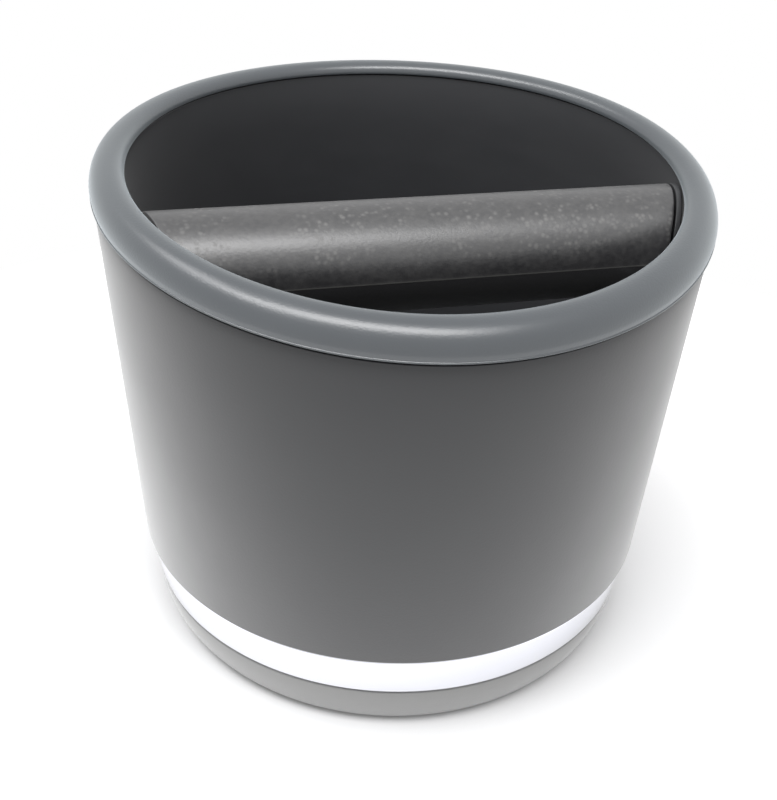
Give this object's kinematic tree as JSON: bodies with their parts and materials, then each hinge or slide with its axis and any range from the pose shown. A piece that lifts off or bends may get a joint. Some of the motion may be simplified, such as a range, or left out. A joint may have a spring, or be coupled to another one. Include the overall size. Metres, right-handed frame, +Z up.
{
  "type": "espresso knock box",
  "caption": "Round espresso knock box with a sloping soft rim, a chrome band, a rubber foot and a rubber covered knock bar across its mouth that lifts out.",
  "frame": {"origin": "on the table under the middle of the box, at the bottom centre of its bounding box", "axes": "+Z up, the knock bar along X, the low front of the rim towards -Y"},
  "size_m": [0.13, 0.13, 0.1126],
  "materials": {
    "shell_plastic": "satin moulded ABS",
    "soft_rim": "soft matte elastomer",
    "liner_plastic": "fine matte moulding",
    "chrome": "bright plating on ABS",
    "base_plastic": "matte moulding",
    "foot_rubber": "matte",
    "bar_rubber": "matte with fine wear",
    "cap_plastic": "fine matte moulding",
    "steel": "plain drawn"
  },
  "bodies": {
    "bin": {"rubber_foot": "foot_rubber", "chrome_band": "chrome", "base_tub": "base_plastic", "outer_shell": "shell_plastic", "bin_liner": "liner_plastic", "rim_ring": "soft_rim", "base_screw_1": "steel", "base_screw_2": "steel", "base_screw_3": "steel", "base_screw_4": "steel", "bar_seat_left": "bar_rubber", "bar_seat_right": "bar_rubber"},
    "knock_bar": {"bar_core": "steel", "bar_sleeve": "bar_rubber", "bar_cap_left": "cap_plastic", "bar_cap_right": "cap_plastic"}
  },
  "joints": [
    {"name": "knock_bar_lift", "type": "slide", "parent": "bin", "child": "knock_bar", "axis": [0, 0, 1], "range_m": [0, 0.045]}
  ]
}
